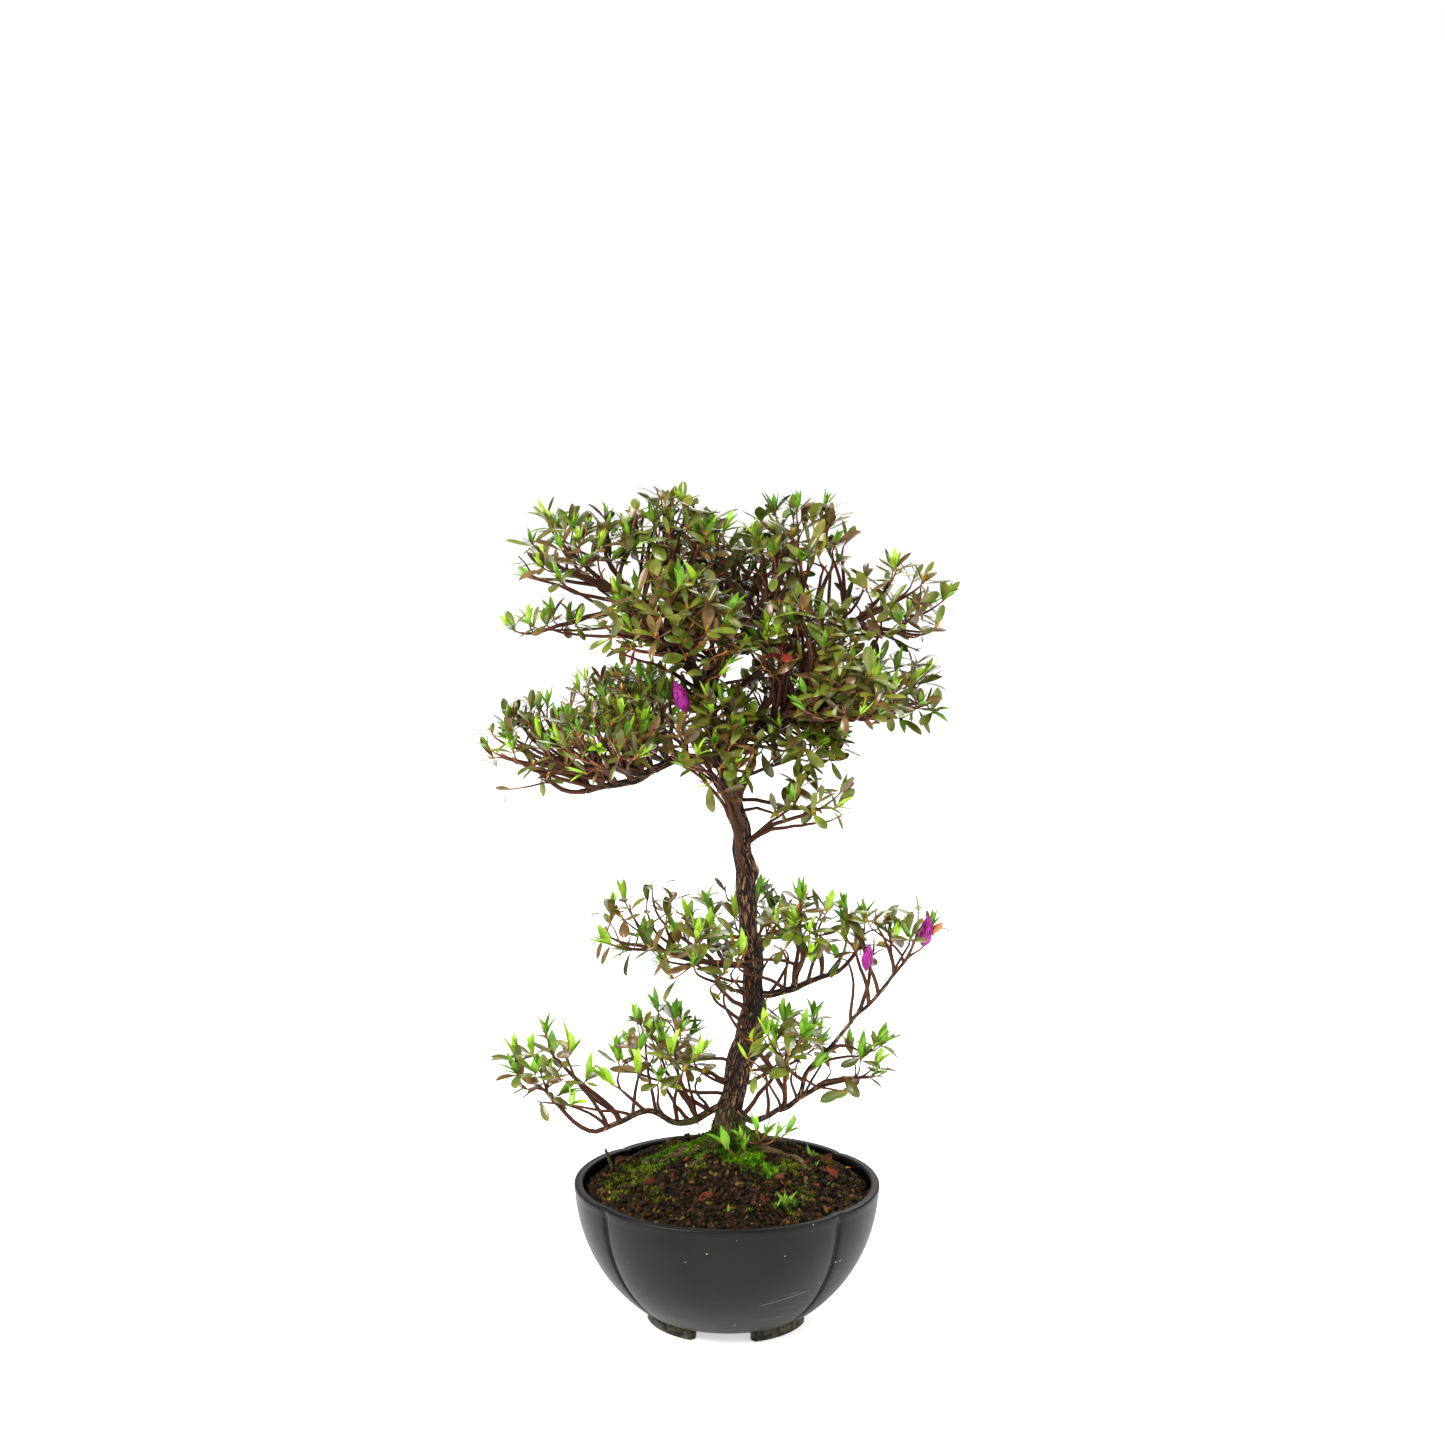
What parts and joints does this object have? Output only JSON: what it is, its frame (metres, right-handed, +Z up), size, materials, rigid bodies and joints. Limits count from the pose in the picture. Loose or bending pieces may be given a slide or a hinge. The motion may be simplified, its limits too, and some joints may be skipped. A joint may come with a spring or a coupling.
{
  "type": "bonsai azalea in an oval pot",
  "caption": "Small tree-form flowering azalea with a slim leaning trunk, tiered open foliage and a dark lobed oval pot on short feet.",
  "frame": {"origin": "on the ground under the feet of the pot, below the middle of the whole plant's width and depth", "axes": "+Z up the trunk, X along the pot's long side, -Y towards the front that the crown was grown to be seen from"},
  "size_m": [0.2466, 0.1516, 0.4401],
  "materials": {
    "pot_plastic": "charcoal moulded plastic, satin, with a soft pale sheen",
    "soil": "damp dark brown potting soil with bark chips",
    "bark": "reddish dark brown bark with fine upright fissures",
    "foliage": "small leathery dark green leaves with a soft gloss",
    "young_foliage": "bright yellow-green young leaves",
    "moss": "short olive to bright green moss",
    "blossom": "magenta-purple furled petals"
  },
  "bodies": {
    "root": {"pot": "pot_plastic", "soil": "soil", "trunk": "bark", "left_limb": "bark", "right_limb": "bark", "left_top_bough": "bark", "top_bough": "bark", "top_back_bough": "bark", "top_front_bough": "bark", "right_top_bough": "bark", "right_long_bough": "bark", "left_pad_limb": "bark", "left_inner_bough": "bark", "left_front_bough": "bark", "left_back_bough": "bark", "right_pad_limb": "bark", "right_outer_bough": "bark", "right_back_bough": "bark", "mid_left_bough": "bark", "mid_right_bough": "bark", "mid_upright_bough": "bark", "low_left_bough": "bark", "low_right_bough": "bark", "low_outer_bough": "bark", "bud_bough": "bark", "crown_top": "foliage", "crown_top_left": "foliage", "crown_top_right": "foliage", "crown_right": "foliage", "crown_left_spur": "foliage", "crown_front": "foliage", "crown_back": "foliage", "crown_middle": "foliage", "right_pad_outer": "foliage", "left_pad_outer": "foliage", "left_pad_inner": "foliage", "left_pad_front": "foliage", "left_pad_back": "foliage", "centre_front": "foliage", "right_pad_inner": "foliage", "right_pad_low": "foliage", "right_pad_back": "foliage", "right_pad_front": "foliage", "mid_left": "foliage", "mid_left_front": "foliage", "mid_upright": "foliage", "mid_right": "foliage", "mid_back": "foliage", "bud_spray": "foliage", "low_left_outer": "foliage", "low_left_inner": "foliage", "low_left_back": "foliage", "low_right": "foliage", "low_right_outer": "foliage", "low_back": "foliage", "foot_shoots": "foliage"}
  },
  "joints": []
}
